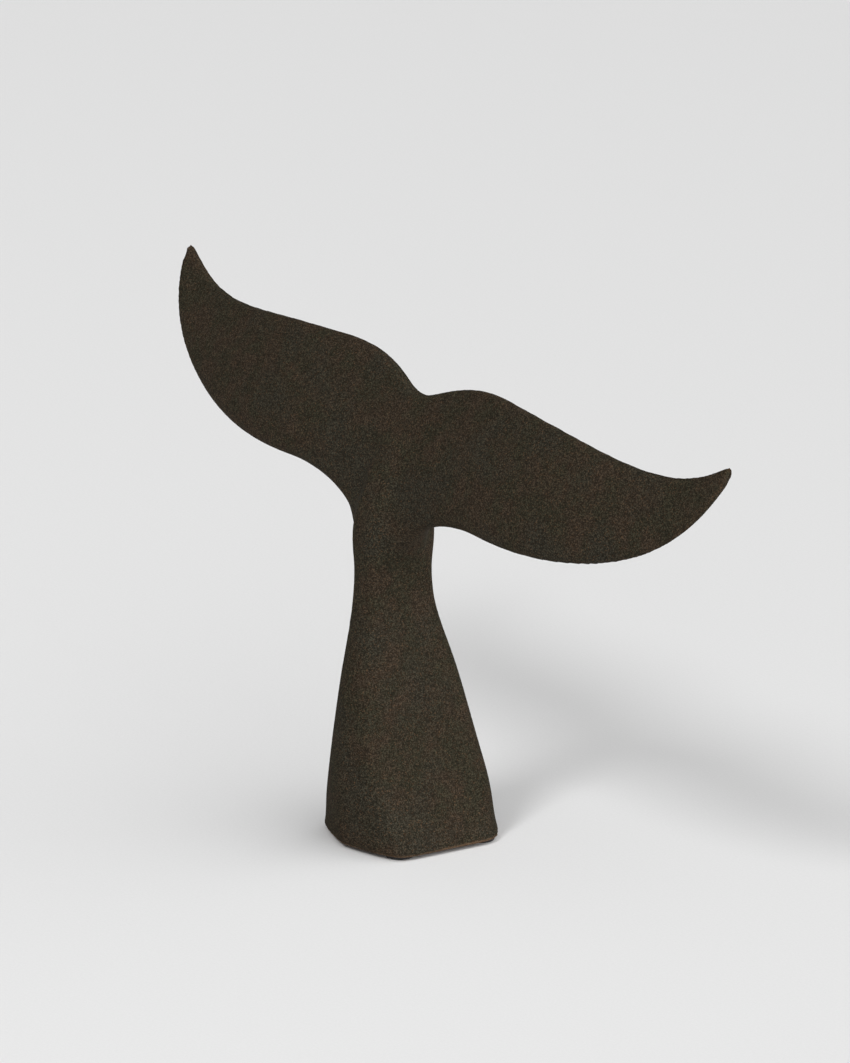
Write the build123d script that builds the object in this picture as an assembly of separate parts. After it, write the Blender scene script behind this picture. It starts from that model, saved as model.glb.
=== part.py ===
from build123d import *
import math
import os

# Whale-tail ornament: a hollow stoneware tail standing upright on its cut stalk.
# X runs along the flukes, -Y is the front, +Z is up. The origin is on the table, under the
# middle of the tail's overall box. Lengths are in mm, heights of the tail are above its foot.

# Driving dimensions of the stalk
FOOT_WIDTH = 59.2
FOOT_DEPTH = 55.8
FOOT_BULGE = 0.42
FOOT_SHARPNESS = 6.0
NECK_WIDTH = 12.7
NECK_DEPTH = 25.0
NECK_BULGE = 0.06
NECK_SHARPNESS = 7.0
NECK_HEIGHT = 81.7
STALK_FORWARD_LEAN = 0.1

# Driving dimensions of the flukes, each rise measured from the height named in its comment
FLUKE_SPAN = 312.0
LEADING_EDGE_RISE = 30.0  # from the neck
BEND_RISE = 41.4  # from the neck
NOTCH_RISE = 31.6  # from the leading edge
TIP_RISE = 43.7  # from the leading edge
ROOT_RISE = 1.8  # from the leading edge
LOBE_RISE = 8.2  # from the notch
BEND_LENGTH = 18.6
FLUKE_LEAN = 0.64
FLUKE_BOW = 4.8
FLUKE_SWEEP = 9.2
TIP_CURL = 5.5
FLUKE_THICKNESS = 10.0
FLUKE_BULGE = 0.15
FLUKE_SHARPNESS = 5.0
TIP_THICKNESS = 3.7
TRAILING_EDGE_THICKNESS = 4.4
NOTCH_THICKNESS = 7.4
CREST_WIDTH = 8.2
CREST_DROP = 7.8
FAN_REACH = 55.0

# Driving dimensions of the hollow, the foot and the loose pieces
WALL = 4.6
FLOOR = 6.0
HOLLOW_GAP = 14.0
FOOT_BEVEL = 0.5
RECESS_DIAMETER = 26.0
RECESS_DEPTH = 2.2
DRAIN_DIAMETER = 11.0
PLUG_CLEARANCE = 0.1
PLUG_LIP = 2.4
PLUG_LIP_THICKNESS = 1.4
PLUG_BEAD = 0.8
PLUG_BEAD_HEIGHT = 2.4
PAD_DIAMETER = 9.0
PAD_THICKNESS = 1.0
PAD_SPREAD = 0.55
PAD_EDGE_RADIUS = 0.3

# How fast each form fades into the next: powers of the share of the way along it
FLARE_FADE = 1.66
BELLY_POWER = 1.64
BELLY_FADE = 1.09
CREST_STEEPNESS = 7.0
CREST_FADE = 7.6
BACK_FADE = 3.5
CREST_END_POWER = 1.5
WEB_FADE = 4.0
TAPER_FADE = 2.0
THINNING_POWER = 1.5
NOTCH_FADE = 8.0
CURL_POWER = 8

# Handles of the flukes' outline: share of the half span, share of the curve's own rise
ARMPIT_STRAIGHT = 0.58
ARMPIT_HANDLE = 0.114
ROOT_SHARE = 0.354
LEADING_HANDLES = [(0.7, 0.0), (0.939, 0.297)]
LEADING_END = 0.897
LOBE_HANDLES = [(0.118, -0.047), (0.073, 1.0)]
LOBE_SHARE = 0.29
TRAILING_HANDLES = [(0.645, 1.0), (0.819, -0.56)]

# Places of the cross-sections, as shares of the way along the stalk, its root and a fluke
STALK_STATIONS = [0.0, 0.14, 0.32, 0.52, 0.75, 1.0]
FAN_STATIONS = [0.2, 0.4, 0.6, 0.8, 0.92, 1.0]
FLUKE_STATIONS = [0.0, 0.1, 0.22, 0.36, 0.5, 0.64, 0.77, 0.88, 0.95, 1.0]
SECTION_STEPS = 13
HOLLOW_STEPS = 5
MIDDLE_OVERLAP = 1.0

half_span = FLUKE_SPAN / 2
half_neck = NECK_DEPTH / 2
half_notch = NOTCH_THICKNESS / 2
leading_edge_height = NECK_HEIGHT + LEADING_EDGE_RISE
bend_height = NECK_HEIGHT + BEND_RISE
notch_height = leading_edge_height + NOTCH_RISE
tip_height = leading_edge_height + TIP_RISE
hollow_height = NECK_HEIGHT - HOLLOW_GAP


def blend(start, end, share):
    return start + (end - start) * share


def middle(x, height):
    """Y of the tail's middle surface: a stalk leaning forward, bent back into curved flukes."""
    def ramp(distance):
        return (distance + math.hypot(distance, BEND_LENGTH)) / 2
    bend = ramp(height - bend_height) - ramp(-bend_height)
    along = abs(x) / half_span
    bow = FLUKE_BOW * math.sin(math.pi * along) ** 2
    curve = FLUKE_SWEEP * along ** 2 - bow - TIP_CURL * along ** CURL_POWER
    return -STALK_FORWARD_LEAN * height + (FLUKE_LEAN + STALK_FORWARD_LEAN) * bend + curve


def stalk_half_width(height):
    flare = (1 - height / NECK_HEIGHT) ** FLARE_FADE
    return blend(NECK_WIDTH, FOOT_WIDTH, flare) / 2


def stalk_half_depth(height):
    belly = (1 - (height / NECK_HEIGHT) ** BELLY_POWER) ** BELLY_FADE
    return blend(NECK_DEPTH, FOOT_DEPTH, belly) / 2


def corner(share, bulge, sharpness):
    """Share of the depth left at a share of the width: two bowed faces meeting in a rounded corner."""
    if share >= 1:
        return 0
    side = math.sqrt((1 - share) / bulge)
    face = 1 - bulge * share ** 2
    return (side ** -sharpness + face ** -sharpness) ** (-1 / sharpness)


def half_section(inner, outer, edge_depth, web_depth, bulge, sharpness, crests=(0, 0), rounded=False):
    """Half cross-section of the tail from inner to outer, crested at its inner end."""
    front_crest, back_crest = crests
    chord = math.dist(inner, outer)
    front = []
    back = []
    for step in range(SECTION_STEPS + 1):
        share = (1 - math.cos(math.pi * step / SECTION_STEPS)) / 2
        fullness = corner(share, bulge, sharpness)
        depth = blend(web_depth, edge_depth, (1 - share) ** TAPER_FADE)
        crest = 1 / (1 + (share * chord / CREST_WIDTH) ** CREST_STEEPNESS)
        x = blend(inner[0], outer[0], share)
        z = blend(inner[1], outer[1], share)
        y = middle(x, z)
        front.append(Vector(x, y - fullness * (depth + front_crest * crest), z))
        back.append(Vector(x, y + fullness * (depth + back_crest * crest), z))
    back[-1] = front[-1]
    skin = Spline(*front, *back[-2::-1])
    if not rounded:
        return Face(Wire([skin, Line(back[0], front[0])]))
    reach = edge_depth / chord
    x = blend(inner[0], outer[0], -reach)
    z = blend(inner[1], outer[1], -reach)
    crown = Vector(x, middle(x, z), z)
    return Face(Wire([skin, ThreePointArc(back[0], crown, front[0])]))


def placed(handles, base, rise):
    return [(share * half_span, base + climb * rise) for share, climb in handles]


def planform():
    """Leading edge from the neck to the tip and trailing edge from the notch to the tip, in XZ."""
    root = (ROOT_SHARE * half_span, leading_edge_height + ROOT_RISE)
    armpit = Bezier(
        (NECK_WIDTH / 2, NECK_HEIGHT),
        (NECK_WIDTH / 2, blend(NECK_HEIGHT, leading_edge_height, ARMPIT_STRAIGHT)),
        (ARMPIT_HANDLE * half_span, leading_edge_height + ROOT_RISE),
        root,
    )
    leading = Bezier(
        root,
        *placed(LEADING_HANDLES, leading_edge_height, TIP_RISE),
        (half_span, leading_edge_height + LEADING_END * TIP_RISE),
    )
    lobe_top = (LOBE_SHARE * half_span, notch_height + LOBE_RISE)
    lobe = Bezier((-MIDDLE_OVERLAP, notch_height), *placed(LOBE_HANDLES, notch_height, LOBE_RISE), lobe_top)
    trailing = Bezier(lobe_top, *placed(TRAILING_HANDLES, notch_height, LOBE_RISE), (half_span, tip_height))
    return Wire([armpit, leading]), Wire([lobe, trailing])


def at_length(curve, length):
    point = curve.position_at(length / curve.length)
    return (point.X, point.Y)


def stalk_section(height, inset):
    share = height / NECK_HEIGHT
    inner = (-MIDDLE_OVERLAP, height)
    outer = (stalk_half_width(height) - inset, height)
    depth = stalk_half_depth(height) - inset
    bulge = blend(FOOT_BULGE, NECK_BULGE, share)
    sharpness = blend(FOOT_SHARPNESS, NECK_SHARPNESS, share)
    return half_section(inner, outer, depth, depth, bulge, sharpness)


def fan_sections(leading):
    """Root of the flukes: the stalk's sides fan out while its front runs up as a crest to the notch."""
    sections = []
    for share in FAN_STATIONS:
        inner = (-MIDDLE_OVERLAP, blend(NECK_HEIGHT, notch_height, share))
        outer = at_length(leading, FAN_REACH * share)
        stalk_kept = (1 - share) ** WEB_FADE
        edge = blend(half_notch, half_neck, stalk_kept)
        web = blend(FLUKE_THICKNESS / 2, half_neck, stalk_kept)
        front_kept = (1 - share ** CREST_FADE) ** CREST_END_POWER
        back_kept = (1 - share ** BACK_FADE) ** CREST_END_POWER
        front = blend(half_notch, half_neck - CREST_DROP * share, front_kept)
        back = blend(half_notch, half_neck, back_kept)
        bulge = blend(NECK_BULGE, FLUKE_BULGE, share)
        sharpness = blend(NECK_SHARPNESS, FLUKE_SHARPNESS, share)
        at_notch = share == FAN_STATIONS[-1]
        crests = (front - edge, back - edge)
        sections.append(half_section(inner, outer, edge, web, bulge, sharpness, crests, rounded=at_notch))
    return sections


def fluke_sections(leading, trailing):
    """One fluke, from the notch out to its tip."""
    sections = []
    for share in FLUKE_STATIONS:
        inner = at_length(trailing, trailing.length * share)
        outer = at_length(leading, blend(FAN_REACH, leading.length, share))
        web = blend(FLUKE_THICKNESS, TIP_THICKNESS, share ** THINNING_POWER) / 2
        edge = blend(TRAILING_EDGE_THICKNESS, TIP_THICKNESS, share) / 2
        edge = blend(edge, half_notch, (1 - share) ** NOTCH_FADE)
        sections.append(half_section(inner, outer, edge, web, FLUKE_BULGE, FLUKE_SHARPNESS, rounded=True))
    return sections


def solid_tail():
    leading, trailing = planform()
    bevel = loft([stalk_section(0, FOOT_BEVEL), stalk_section(FOOT_BEVEL, 0)], ruled=True)
    stalk = [stalk_section(blend(FOOT_BEVEL, NECK_HEIGHT, share), 0) for share in STALK_STATIONS]
    half = bevel + loft(stalk + fan_sections(leading)) + loft(fluke_sections(leading, trailing))
    right_side = Box(FLUKE_SPAN, FLUKE_SPAN, 2 * FLUKE_SPAN, align=(Align.MIN, Align.CENTER, Align.CENTER))
    half = half & right_side
    return half + half.mirror(Plane.YZ)


def hollow():
    """Slip-cast hollow of the stalk, one wall thickness inside its skin."""
    rings = []
    for step in range(HOLLOW_STEPS + 1):
        height = blend(FLOOR, hollow_height, step / HOLLOW_STEPS)
        ring = Ellipse(stalk_half_width(height) - WALL, stalk_half_depth(height) - WALL)
        rings.append(Pos(0, middle(0, height), height) * ring)
    return loft(rings)


def tail_body():
    upwards = (Align.CENTER, Align.CENTER, Align.MIN)
    recess = Cylinder(RECESS_DIAMETER / 2, RECESS_DEPTH, align=upwards)
    drain = Cylinder(DRAIN_DIAMETER / 2, FLOOR + WALL, align=upwards)
    return solid_tail() - hollow() - recess - drain


def drain_plug():
    """Push-in stopper: a lip under the floor, a stem through it and a tapered bead above it."""
    stem = DRAIN_DIAMETER / 2 - PLUG_CLEARANCE
    lip = DRAIN_DIAMETER / 2 + PLUG_LIP
    bead = DRAIN_DIAMETER / 2 + PLUG_BEAD
    bead_base = FLOOR + PLUG_CLEARANCE
    profile = Polyline(
        (0, RECESS_DEPTH - PLUG_LIP_THICKNESS),
        (lip, RECESS_DEPTH - PLUG_LIP_THICKNESS),
        (lip, RECESS_DEPTH),
        (stem, RECESS_DEPTH),
        (stem, bead_base),
        (bead, bead_base),
        (stem - PLUG_BEAD, bead_base + PLUG_BEAD_HEIGHT),
        (0, bead_base + PLUG_BEAD_HEIGHT),
        close=True,
    )
    return revolve(Plane.XZ * make_face(profile), Axis.Z)


def foot_pad(side, end):
    """Glued-on disc under one corner of the foot."""
    pad = Cylinder(PAD_DIAMETER / 2, PAD_THICKNESS, align=(Align.CENTER, Align.CENTER, Align.MAX))
    lower_rim = pad.edges().sort_by(Axis.Z)[0]
    pad = fillet(lower_rim, PAD_EDGE_RADIUS)
    return Pos(side * PAD_SPREAD * FOOT_WIDTH / 2, end * PAD_SPREAD * FOOT_DEPTH / 2, 0) * pad


nodes = {
    "tail_body": tail_body(),
    "drain_plug": drain_plug(),
    "pad_front_left": foot_pad(-1, -1),
    "pad_front_right": foot_pad(1, -1),
    "pad_back_left": foot_pad(-1, 1),
    "pad_back_right": foot_pad(1, 1),
}
box = nodes["tail_body"].bounding_box()
stand = Pos(0, -box.center().Y, PAD_THICKNESS)
os.makedirs("parts", exist_ok=True)
for name, shape in nodes.items():
    export_step(stand * shape, f"parts/{name}.step")
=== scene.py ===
import math

import bpy
from mathutils import Matrix, Vector
from mathutils.bvhtree import BVHTree


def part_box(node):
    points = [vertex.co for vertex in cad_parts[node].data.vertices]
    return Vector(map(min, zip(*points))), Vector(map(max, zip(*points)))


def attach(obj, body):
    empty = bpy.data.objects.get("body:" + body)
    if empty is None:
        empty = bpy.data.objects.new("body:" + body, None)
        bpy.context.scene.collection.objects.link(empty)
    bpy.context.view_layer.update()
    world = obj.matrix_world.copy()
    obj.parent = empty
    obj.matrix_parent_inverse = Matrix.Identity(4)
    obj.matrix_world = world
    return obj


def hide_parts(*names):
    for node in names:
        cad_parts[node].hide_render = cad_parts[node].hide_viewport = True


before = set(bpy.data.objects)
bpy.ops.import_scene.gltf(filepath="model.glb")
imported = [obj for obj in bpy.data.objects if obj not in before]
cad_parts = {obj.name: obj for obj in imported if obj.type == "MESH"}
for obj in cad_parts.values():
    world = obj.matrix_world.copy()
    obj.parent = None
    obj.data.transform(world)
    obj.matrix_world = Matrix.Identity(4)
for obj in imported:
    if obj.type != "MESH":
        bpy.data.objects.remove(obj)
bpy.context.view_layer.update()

# Lengths are in metres, as in the frame, and colours are sRGB in steps of 255.
MM = 0.001

# The photograph's viewpoint, measured from the middle of the tail's foot
VIEW_AZIMUTH = 57.1
VIEW_ELEVATION = 16.74
VIEW_DISTANCE = 2.88
VIEW_ASIDE = 4.0 * MM
VIEW_RAISED = 95.71 * MM
LENS = 304.8
SENSOR = 36.0

# Skin of the tail: the size of its faces and its smoothing
SKIN_VOXEL = 0.82 * MM
SKIN_SMOOTHING = 0.5
SKIN_PASSES = 8

# More smoothing in the hollows under the flukes
ARMPIT_ASIDE = 9.0 * MM
ARMPIT_HEIGHT = 103.0 * MM
ARMPIT_REACH = 20.0 * MM
ARMPIT_PASSES = 24

# Swelling where the flukes leave the stalk
THROAT_ASIDE = 5.0 * MM
THROAT_HEIGHT = 105.0 * MM
THROAT_REACH = 15.0 * MM
THROAT_SWELL = 1.4 * MM

# Stalk: the flanks' distance from its middle and the keel's depth, both less at the neck than at the foot
NECK_RISE = 81.7 * MM
STALK_LEAN = 0.09
FLANK_AT_FOOT = 23.5 * MM
FLANK_AT_NECK = 9.6 * MM
FLANK_FADE = 3.2
KEEL_AT_FOOT = 27.8 * MM
KEEL_AT_NECK = 18.0 * MM
KEEL_FADE = 2.0
KEEL_SLOPE = 0.28
CORNER_REACH = 3.0 * MM
WALL = 4.6 * MM
HOLLOW_REACH = 70.0 * MM

# Glaze and bare clay
GRAIN_SIZE = 0.3 * MM
LUMP_SIZE = 1.6 * MM
LUMP_SHARE = 1.5
BLOTCH_SIZE = 9.0 * MM
DRIFT_SIZE = 20.7 * MM
GRAIN_DEPTH = 0.12 * MM
GRAIN_STRENGTH = 0.35
DARKEST_GRAIN = 0.45
BRIGHTEST_GRAIN = 2.1
GLAZE_ROUGHNESS = 0.9
GLAZE_SHINE = 0.06
OLIVE_GLAZE = (46, 43, 33)
BROWN_GLAZE = (52, 44, 35)
GREY_GLAZE = (47, 44, 36)
RED_GRAIN = (60, 46, 33)
WORN_EDGE = (92, 66, 46)
WORN_SHARE = 0.6
RIM_HEIGHT = 0.9 * MM
DARK_CLAY = (74, 58, 44)
PALE_CLAY = (104, 84, 66)

# Rubber of the plug and the pads
PLUG_DARK = (30, 29, 28)
PLUG_PALE = (44, 42, 40)
PLUG_CLOUD = 4 * MM
PAD_DARK = (24, 23, 22)
PAD_PALE = (36, 35, 33)
PAD_CLOUD = 3 * MM
DUST = (86, 82, 76)
DUST_SCALE = 0.12
DUST_SHARE = 0.35
DUST_DEPTH = 0.05 * MM
DUST_STRENGTH = 0.4

# Floor
FLOOR_SIZE = 9.0
FLOOR_GREY = 0.765
FLOOR_TOOTH = 0.012
TOOTH_SIZE = 0.9 * MM
FLOOR_ROUGHNESS = 0.95
FLOOR_SHINE = 0.1

# Light, whose directions are given to the camera's right, towards the camera and up
LIT_HEIGHT = 80.0 * MM
KEY_DIRECTION = (-0.57, 0.78, 1.0)
KEY_DISTANCE = 5.0
KEY_SIZE = 1.3
KEY_POWER = 95.0
WALL_DIRECTION = (0.75, 0.65, 0.25)
SKY_STRENGTH = 0.18
WALL_STRENGTH = 2.0

foot_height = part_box("tail_body")[0][2]
plug_low, plug_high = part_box("drain_plug")
foot_middle = Vector((0, (plug_low[1] + plug_high[1]) / 2, foot_height))

azimuth = math.radians(VIEW_AZIMUTH)
elevation = math.radians(VIEW_ELEVATION)
aside = Vector((math.cos(azimuth), math.sin(azimuth), 0))
nearer = Vector((math.sin(azimuth), -math.cos(azimuth), 0))
upright = Vector((0, 0, 1))


def linear(colour):
    """Linear colour of an sRGB colour in steps of 255."""
    def channel(value):
        share = value / 255
        return share / 12.92 if share <= 0.04045 else ((share + 0.055) / 1.055) ** 2.4
    red, green, blue = colour
    return (channel(red), channel(green), channel(blue), 1)


class Nodes:
    """One material's node tree, with a short call for each kind of node it uses."""

    def __init__(self, name):
        self.material = bpy.data.materials.new(name)
        self.material.use_nodes = True
        self.tree = self.material.node_tree
        self.shader = self.tree.nodes["Principled BSDF"]
        place = self.tree.nodes.new("ShaderNodeTexCoord")
        self.place = place.outputs["Object"]

    def link(self, source, target):
        self.tree.links.new(source, target)

    def fill(self, target, value):
        if isinstance(value, bpy.types.NodeSocket):
            self.link(value, target)
        else:
            target.default_value = value

    def noise(self, size, detail=2.0, roughness=0.5):
        node = self.tree.nodes.new("ShaderNodeTexNoise")
        node.inputs["Scale"].default_value = 1 / size
        node.inputs["Detail"].default_value = detail
        node.inputs["Roughness"].default_value = roughness
        self.link(self.place, node.inputs["Vector"])
        return node.outputs["Fac"]

    def cells(self, size):
        """Two random greys for each grain."""
        node = self.tree.nodes.new("ShaderNodeTexVoronoi")
        node.inputs["Scale"].default_value = 1 / size
        self.link(self.place, node.inputs["Vector"])
        split = self.tree.nodes.new("ShaderNodeSeparateColor")
        self.link(node.outputs["Color"], split.inputs["Color"])
        return split.outputs["Red"], split.outputs["Green"]

    def height(self):
        split = self.tree.nodes.new("ShaderNodeSeparateXYZ")
        self.link(self.place, split.inputs["Vector"])
        return split.outputs["Z"]

    def sharpness(self):
        geometry = self.tree.nodes.new("ShaderNodeNewGeometry")
        return geometry.outputs["Pointiness"]

    def remap(self, value, from_low, from_high, to_low=0.0, to_high=1.0):
        node = self.tree.nodes.new("ShaderNodeMapRange")
        self.fill(node.inputs["Value"], value)
        node.inputs["From Min"].default_value = from_low
        node.inputs["From Max"].default_value = from_high
        node.inputs["To Min"].default_value = to_low
        node.inputs["To Max"].default_value = to_high
        return node.outputs["Result"]

    def math(self, operation, first, second):
        node = self.tree.nodes.new("ShaderNodeMath")
        node.operation = operation
        self.fill(node.inputs[0], first)
        self.fill(node.inputs[1], second)
        return node.outputs["Value"]

    def mix(self, share, first, second, kind="MIX"):
        node = self.tree.nodes.new("ShaderNodeMix")
        node.data_type = "RGBA"
        node.blend_type = kind
        self.fill(node.inputs["Factor"], share)
        # A mix node has its two colours at 6 and 7 and gives their mix at 2.
        self.fill(node.inputs[6], first)
        self.fill(node.inputs[7], second)
        return node.outputs[2]

    def grey(self, value):
        node = self.tree.nodes.new("ShaderNodeCombineColor")
        for channel in ("Red", "Green", "Blue"):
            self.link(value, node.inputs[channel])
        return node.outputs["Color"]

    def bump(self, height, depth, strength):
        node = self.tree.nodes.new("ShaderNodeBump")
        node.inputs["Distance"].default_value = depth
        node.inputs["Strength"].default_value = strength
        self.link(height, node.inputs["Height"])
        self.link(node.outputs["Normal"], self.shader.inputs["Normal"])

    def finish(self, roughness, shine):
        self.shader.inputs["Roughness"].default_value = roughness
        self.shader.inputs["Specular IOR Level"].default_value = shine


def stoneware():
    """Matte sandy glaze, olive to brown with red grains, worn edges and bare brown clay at the foot's rim."""
    made = Nodes("stoneware glaze")
    tone, hue = made.cells(GRAIN_SIZE)
    cloud = made.noise(BLOTCH_SIZE, 3.0, 0.6)
    drift = made.noise(DRIFT_SIZE, 2.0, 0.5)
    colour = made.mix(made.remap(cloud, 0.42, 0.6), linear(OLIVE_GLAZE), linear(BROWN_GLAZE))
    colour = made.mix(made.remap(drift, 0.5, 0.66), colour, linear(GREY_GLAZE))
    colour = made.mix(made.remap(hue, 0.86, 0.92), colour, linear(RED_GRAIN))
    shade = made.remap(made.math("MULTIPLY", tone, tone), 0.0, 1.0, DARKEST_GRAIN, BRIGHTEST_GRAIN)
    colour = made.mix(1.0, colour, made.grey(shade), "MULTIPLY")
    worn = made.math("MULTIPLY", made.remap(made.sharpness(), 0.53, 0.62), made.remap(cloud, 0.35, 0.55))
    colour = made.mix(made.math("MULTIPLY", worn, WORN_SHARE), colour, linear(WORN_EDGE))
    ragged = made.math("ADD", made.height(), made.remap(cloud, 0.3, 0.7, -0.5 * RIM_HEIGHT, 0.5 * RIM_HEIGHT))
    rim = made.remap(ragged, foot_height + 0.7 * RIM_HEIGHT, foot_height + 1.4 * RIM_HEIGHT, 1.0, 0.0)
    clay = made.mix(made.remap(tone, 0.0, 1.0), linear(DARK_CLAY), linear(PALE_CLAY))
    colour = made.mix(rim, colour, clay)
    made.link(colour, made.shader.inputs["Base Color"])
    made.finish(GLAZE_ROUGHNESS, GLAZE_SHINE)
    lumps = made.noise(LUMP_SIZE, 3.0, 0.6)
    grain = made.math("ADD", tone, made.math("MULTIPLY", lumps, LUMP_SHARE))
    made.bump(grain, GRAIN_DEPTH, GRAIN_STRENGTH)
    return made.material


def rubber(name, dark, pale, size):
    """Matte moulded rubber with a little dust in its grain."""
    made = Nodes(name)
    cloud = made.noise(size, 3.0, 0.6)
    dust = made.noise(DUST_SCALE * size, 2.0, 0.6)
    colour = made.mix(made.remap(cloud, 0.35, 0.65), linear(dark), linear(pale))
    colour = made.mix(made.remap(dust, 0.62, 0.72, 0.0, DUST_SHARE), colour, linear(DUST))
    made.link(colour, made.shader.inputs["Base Color"])
    made.link(made.remap(dust, 0.3, 0.7, 0.6, 0.85), made.shader.inputs["Roughness"])
    made.bump(dust, DUST_DEPTH, DUST_STRENGTH)
    return made.material


def paper():
    """Pale seamless floor with a faint tooth."""
    made = Nodes("floor")
    tooth = made.noise(TOOTH_SIZE, 2.0, 0.6)
    grey = made.remap(tooth, 0.3, 0.7, FLOOR_GREY - FLOOR_TOOTH, FLOOR_GREY + FLOOR_TOOTH)
    made.link(made.grey(grey), made.shader.inputs["Base Color"])
    made.finish(FLOOR_ROUGHNESS, FLOOR_SHINE)
    return made.material


def even_mesh(piece):
    """The piece's mesh made again from small even faces."""
    even = piece.modifiers.new("even", "REMESH")
    even.mode = "VOXEL"
    even.voxel_size = SKIN_VOXEL
    even.use_smooth_shade = True
    seen = bpy.context.evaluated_depsgraph_get()
    piece.data = bpy.data.meshes.new_from_object(piece.evaluated_get(seen))
    piece.modifiers.clear()


def resting_points(mesh):
    """Each vertex with its place and normal as they are before any vertex moves."""
    return [(vertex, vertex.co.copy(), vertex.normal.copy()) for vertex in mesh.vertices]


def soft_least(first, second, reach):
    """The lesser of two lengths, rounded where they come within reach of each other."""
    near = max(0, 1 - abs(first - second) / reach)
    return min(first, second) - near * near * reach / 4


def flatten_stalk(mesh):
    """Flat sides and a flat-sided keel on the stalk, meeting in crests, with the hollow one wall inside."""
    points = resting_points(mesh)
    places = [place for _, place, _ in points]
    surface = BVHTree.FromPolygons(places, [face.vertices for face in mesh.polygons])
    for vertex, place, normal in points:
        climb = max(0, place.z - foot_middle.z) / NECK_RISE
        if climb < 1:
            flank = FLANK_AT_NECK + (FLANK_AT_FOOT - FLANK_AT_NECK) * (1 - climb) ** FLANK_FADE
            keel = KEEL_AT_NECK + (KEEL_AT_FOOT - KEEL_AT_NECK) * (1 - climb ** KEEL_FADE)
            # A vertex inside the hollow faces the wall across from it.
            in_hollow = surface.ray_cast(place + SKIN_VOXEL * normal, normal, HOLLOW_REACH)[0] is not None
            wall = WALL if in_hollow else 0
            aside_x = soft_least(abs(place.x), flank - wall, CORNER_REACH)
            middle = foot_middle.y - STALK_LEAN * climb * NECK_RISE
            forward = soft_least(middle - place.y, keel - wall - KEEL_SLOPE * aside_x, CORNER_REACH)
            vertex.co = (math.copysign(aside_x, place.x), middle - forward, place.z)


def swell_throat(mesh):
    """A slight swelling where the flukes leave the stalk."""
    for vertex, place, normal in resting_points(mesh):
        away = math.hypot(abs(place.x) - THROAT_ASIDE, place.z - THROAT_HEIGHT) / THROAT_REACH
        share = max(0, 1 - away * away) ** 2
        vertex.co = place + THROAT_SWELL * share * normal


def soften(skin, name, passes):
    soft = skin.modifiers.new(name, "SMOOTH")
    soft.factor = SKIN_SMOOTHING
    soft.iterations = passes
    return soft


def armpit_group(skin):
    """Vertex group that is strongest in the two hollows where the flukes leave the stalk."""
    group = skin.vertex_groups.new(name="armpits")
    for vertex in skin.data.vertices:
        away = math.hypot(abs(vertex.co.x) - ARMPIT_ASIDE, vertex.co.z - ARMPIT_HEIGHT) / ARMPIT_REACH
        group.add([vertex.index], max(0, 1 - away * away), "REPLACE")
    return group.name


def tail_skin():
    """An even, softened skin made from the tail's own solid, with the photograph's flat-sided stalk."""
    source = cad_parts["tail_body"]
    skin = bpy.data.objects.new("tail_skin", source.data.copy())
    bpy.context.scene.collection.objects.link(skin)
    even_mesh(skin)
    flatten_stalk(skin.data)
    swell_throat(skin.data)
    even_mesh(skin)
    soften(skin, "whole", SKIN_PASSES)
    soften(skin, "armpits", ARMPIT_PASSES).vertex_group = armpit_group(skin)
    return skin


def paint(piece, material):
    piece.data.materials.clear()
    piece.data.materials.append(material)


def from_camera(direction):
    """The direction given to the camera's right, towards the camera and up, as a vector of the frame."""
    right, near, up = direction
    return right * aside + near * nearer + up * upright


def key_light():
    """One round soft lamp, up to the left of the camera."""
    light = bpy.data.lights.new("key", "AREA")
    light.shape = "DISK"
    light.size = KEY_SIZE
    light.energy = KEY_POWER
    lamp = bpy.data.objects.new("key", light)
    bpy.context.scene.collection.objects.link(lamp)
    target = foot_middle + LIT_HEIGHT * upright
    lamp.location = target + from_camera(KEY_DIRECTION).normalized() * KEY_DISTANCE
    lamp.rotation_euler = (target - lamp.location).to_track_quat("-Z", "Y").to_euler()


def surroundings():
    """Even soft light all round, stronger from the side where a pale wall stands."""
    world = bpy.data.worlds.new("surroundings")
    bpy.context.scene.world = world
    world.use_nodes = True
    nodes = world.node_tree.nodes
    links = world.node_tree.links
    direction = nodes.new("ShaderNodeTexCoord")
    facing = nodes.new("ShaderNodeVectorMath")
    facing.operation = "DOT_PRODUCT"
    links.new(direction.outputs["Generated"], facing.inputs[0])
    facing.inputs[1].default_value = from_camera(WALL_DIRECTION).normalized()
    strength = nodes.new("ShaderNodeMapRange")
    links.new(facing.outputs["Value"], strength.inputs["Value"])
    strength.inputs["To Min"].default_value = SKY_STRENGTH
    strength.inputs["To Max"].default_value = SKY_STRENGTH + WALL_STRENGTH
    links.new(strength.outputs["Result"], nodes["Background"].inputs["Strength"])
    nodes["Background"].inputs["Color"].default_value = (1, 1, 1, 1)


def studio():
    bpy.ops.mesh.primitive_plane_add(size=FLOOR_SIZE)
    floor = bpy.context.object
    floor.name = "floor"
    paint(floor, paper())
    key_light()
    surroundings()


def camera():
    lens = bpy.data.cameras.new("camera")
    lens.sensor_width = SENSOR
    lens.lens = LENS
    viewer = bpy.data.objects.new("camera", lens)
    bpy.context.scene.collection.objects.link(viewer)
    back = math.cos(elevation) * nearer + math.sin(elevation) * upright
    above = back.cross(aside)
    place = foot_middle + aside * VIEW_ASIDE + above * VIEW_RAISED + back * VIEW_DISTANCE
    turn = Matrix((aside, above, back)).transposed().to_4x4()
    viewer.matrix_world = Matrix.Translation(place) @ turn
    bpy.context.scene.camera = viewer


skin = tail_skin()
paint(skin, stoneware())
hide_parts("tail_body")
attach(skin, "root")

paint(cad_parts["drain_plug"], rubber("plug rubber", PLUG_DARK, PLUG_PALE, PLUG_CLOUD))
pad_rubber = rubber("pad rubber", PAD_DARK, PAD_PALE, PAD_CLOUD)
for name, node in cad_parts.items():
    if name.startswith("pad_"):
        paint(node, pad_rubber)

studio()
camera()
bpy.context.scene.view_settings.view_transform = "Standard"
